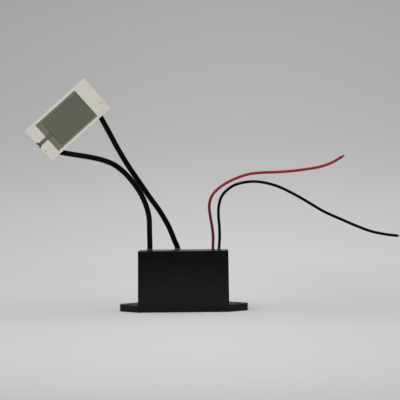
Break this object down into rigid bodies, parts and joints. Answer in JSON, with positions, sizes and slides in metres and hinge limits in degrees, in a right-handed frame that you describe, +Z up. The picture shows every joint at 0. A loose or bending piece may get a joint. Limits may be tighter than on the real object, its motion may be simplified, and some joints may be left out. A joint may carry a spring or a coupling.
{
  "type": "ozone generator module",
  "caption": "Small potted high-voltage power pack with two mounting ears, thick leads to a ceramic discharge plate and thin bare-ended supply leads.",
  "frame": {"origin": "centre of the case's flat underside, on the surface that it stands on", "axes": "+Z up; +X along the case towards the two supply leads; -Y towards the side that the plate's printed electrode faces"},
  "size_m": [0.192, 0.0323, 0.1175],
  "materials": {
    "black_abs": "fine satin moulding texture, worn bright along the edges",
    "epoxy_resin": "cured black potting resin, self-levelled and glossy",
    "alumina": "fired white alumina, slightly warm and matt",
    "glaze": "olive-grey fired glaze, satin",
    "electrode_paste": "printed grey electrode, matt",
    "black_silicone": "satin silicone jacket",
    "red_silicone": "satin silicone jacket",
    "tinned_copper": "tinned copper strands",
    "bare_copper": "bare copper strands",
    "solder": "bright tin solder",
    "burnt_solder": "solder browned by flux",
    "phenolic_board": "single-sided circuit board",
    "ferrite": "sintered ferrite",
    "bobbin_resin": "moulded bobbin",
    "magnet_wire": "enamelled copper winding",
    "capacitor_sleeve": "shrunk sleeve",
    "film_case": "dipped resin",
    "resistor_body": "lacquered resistor",
    "component_black": "moulded component body"
  },
  "bodies": {
    "root": {"power_pack_case": "black_abs", "potting_compound": "epoxy_resin", "driver_board": "phenolic_board", "lower_core_half": "ferrite", "upper_core_half": "ferrite", "transformer_bobbin": "bobbin_resin", "primary_winding": "magnet_wire", "secondary_winding": "magnet_wire", "transformer_pin_1": "tinned_copper", "transformer_pin_2": "tinned_copper", "transformer_pin_3": "tinned_copper", "transformer_pin_4": "tinned_copper", "reservoir_capacitor": "capacitor_sleeve", "switching_transistor": "component_black", "resonant_capacitor": "film_case", "base_resistor": "resistor_body", "start_resistor": "resistor_body", "polarity_diode": "component_black", "left_high_voltage_lead": "black_silicone", "right_high_voltage_lead": "black_silicone", "red_supply_lead": "red_silicone", "black_supply_lead": "black_silicone", "red_bare_end": "tinned_copper", "black_bare_end": "bare_copper", "left_plate_wire": "tinned_copper", "right_plate_wire": "tinned_copper", "ceramic_plate": "alumina", "glaze_layer": "glaze", "front_electrode": "electrode_paste", "rear_electrode": "electrode_paste", "edge_terminal": "burnt_solder", "left_rear_solder": "solder", "right_rear_solder": "solder", "left_high_voltage_board_wire": "tinned_copper", "left_high_voltage_board_solder": "solder", "right_high_voltage_board_wire": "tinned_copper", "right_high_voltage_board_solder": "solder", "red_supply_board_wire": "tinned_copper", "red_supply_board_solder": "solder", "black_supply_board_wire": "tinned_copper", "black_supply_board_solder": "solder"}
  },
  "joints": []
}
